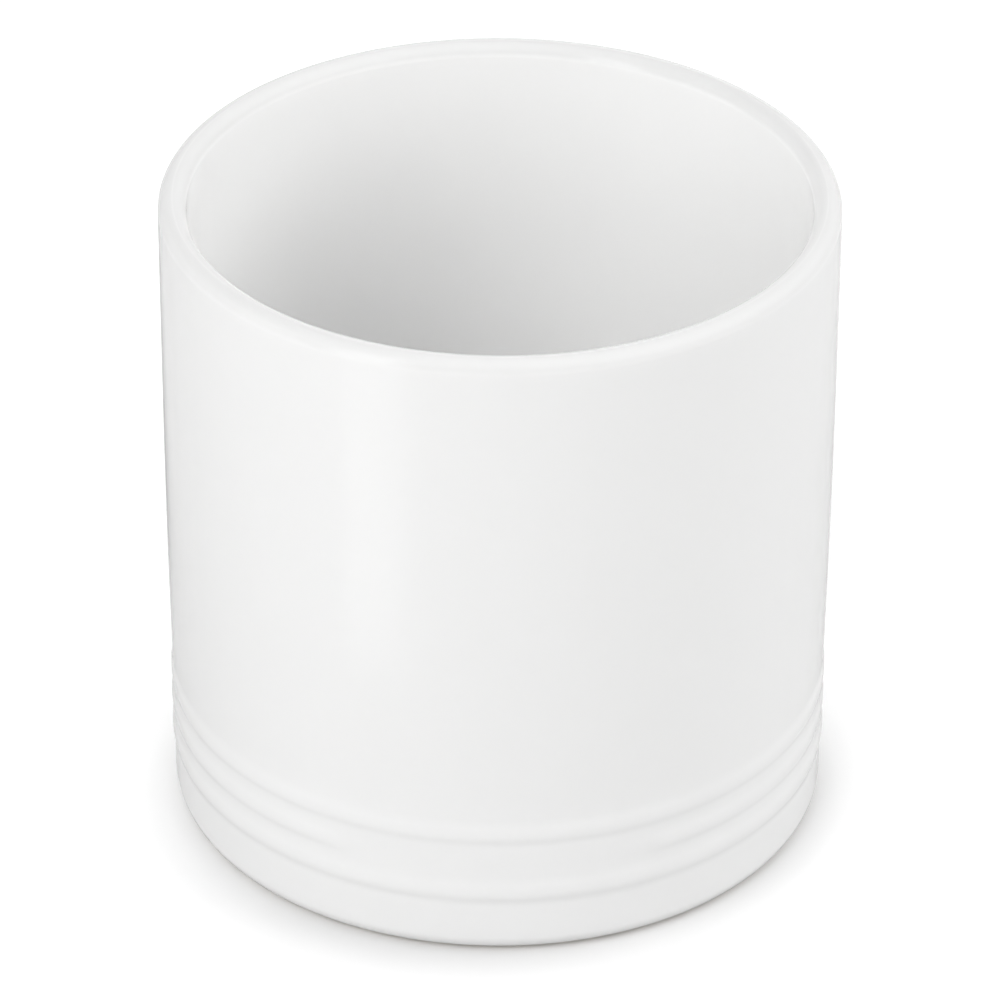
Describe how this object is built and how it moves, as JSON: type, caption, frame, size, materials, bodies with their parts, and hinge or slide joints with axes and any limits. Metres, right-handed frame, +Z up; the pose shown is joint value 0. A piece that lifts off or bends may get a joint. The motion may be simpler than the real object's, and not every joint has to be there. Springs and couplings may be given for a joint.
{
  "type": "utensil crock",
  "caption": "Straight-sided stoneware utensil crock with a full-round rim, low raised ridges above a plain foot band, a bare front panel and a white gloss glaze.",
  "frame": {"origin": "centre of the base, on the surface that the foot ring stands on", "axes": "+Z is up along the pot's axis, the front with the bare panel faces -Y, +X is to the right seen from the front"},
  "size_m": [0.15, 0.15, 0.1515],
  "materials": {
    "fired_stoneware": "matt unglazed fired clay, off-white to buff",
    "white_glaze": "smooth high-gloss white glaze"
  },
  "bodies": {
    "root": {"stoneware_body": "fired_stoneware", "outer_glaze": "white_glaze", "liner_glaze": "white_glaze", "base_glaze": "white_glaze"}
  },
  "joints": []
}
